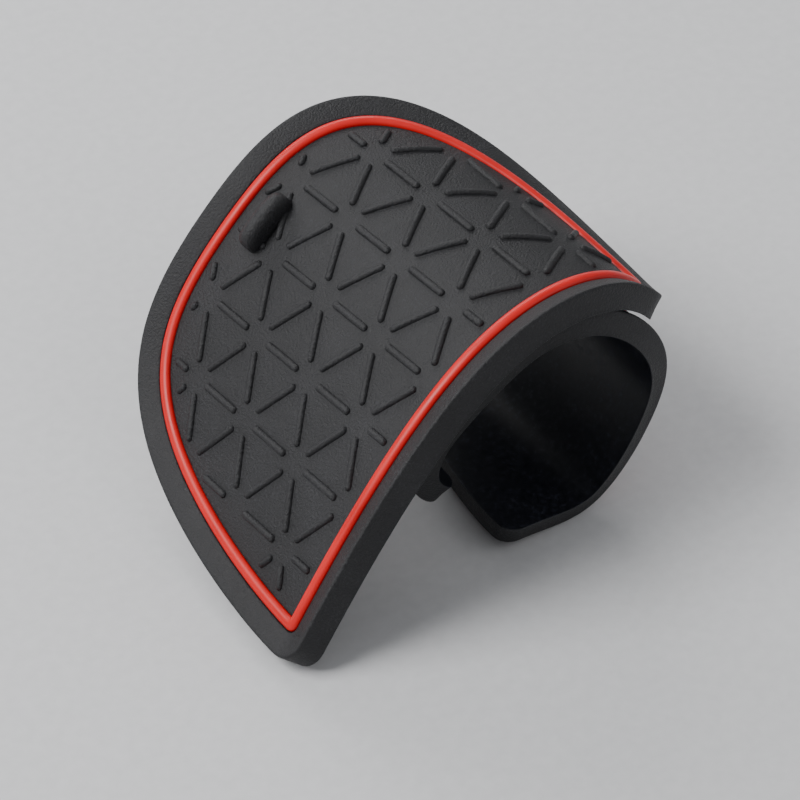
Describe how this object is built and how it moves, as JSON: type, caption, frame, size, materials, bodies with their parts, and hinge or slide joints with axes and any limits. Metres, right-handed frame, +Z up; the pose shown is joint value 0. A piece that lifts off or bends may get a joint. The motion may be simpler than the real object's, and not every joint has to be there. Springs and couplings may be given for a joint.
{
  "type": "slot liner mat",
  "caption": "Curled black rubber slot liner mats with red inlaid edge beads, nested one in the other, free to flex and to slide apart.",
  "frame": {"origin": "middle of the pair's box, on the surface that both mats rest on", "axes": "+Z up, +Y along the roll axis away from the viewer, +X square to it, from the outer mat's flap towards the crest's free end"},
  "size_m": [0.0724, 0.0672, 0.0432],
  "materials": {
    "black_rubber": "matte, fine-grained on the panel and smoother underneath",
    "red_bead": "semi-gloss"
  },
  "bodies": {
    "inner_coil": {"inner_mat_coil": "black_rubber", "inner_bead_coil": "red_bead"},
    "inner_tail": {"inner_mat_tail": "black_rubber", "inner_bead_tail": "red_bead"},
    "outer_crest": {"outer_mat_crest": "black_rubber", "outer_bead_crest": "red_bead", "outer_pull_tab": "black_rubber"},
    "outer_flap": {"outer_mat_flap": "black_rubber", "outer_bead_flap": "red_bead"}
  },
  "joints": [
    {"name": "nest_slide", "type": "slide", "parent": "inner_coil", "child": "outer_crest", "axis": [0, -1, 0], "range_m": [-0.06, 0.06]},
    {"name": "flap_flex", "type": "hinge", "parent": "outer_crest", "child": "outer_flap", "pos_m": [-0.01273, 0, 0.02992], "axis": [0, 1, 0], "range_deg": [0, 30], "stiffness_Nm_per_rad": 0.1},
    {"name": "tail_flex", "type": "hinge", "parent": "inner_coil", "child": "inner_tail", "pos_m": [0.02408, 0, 0.00842], "axis": [0, 1, 0], "range_deg": [0, 20], "stiffness_Nm_per_rad": 0.1}
  ]
}
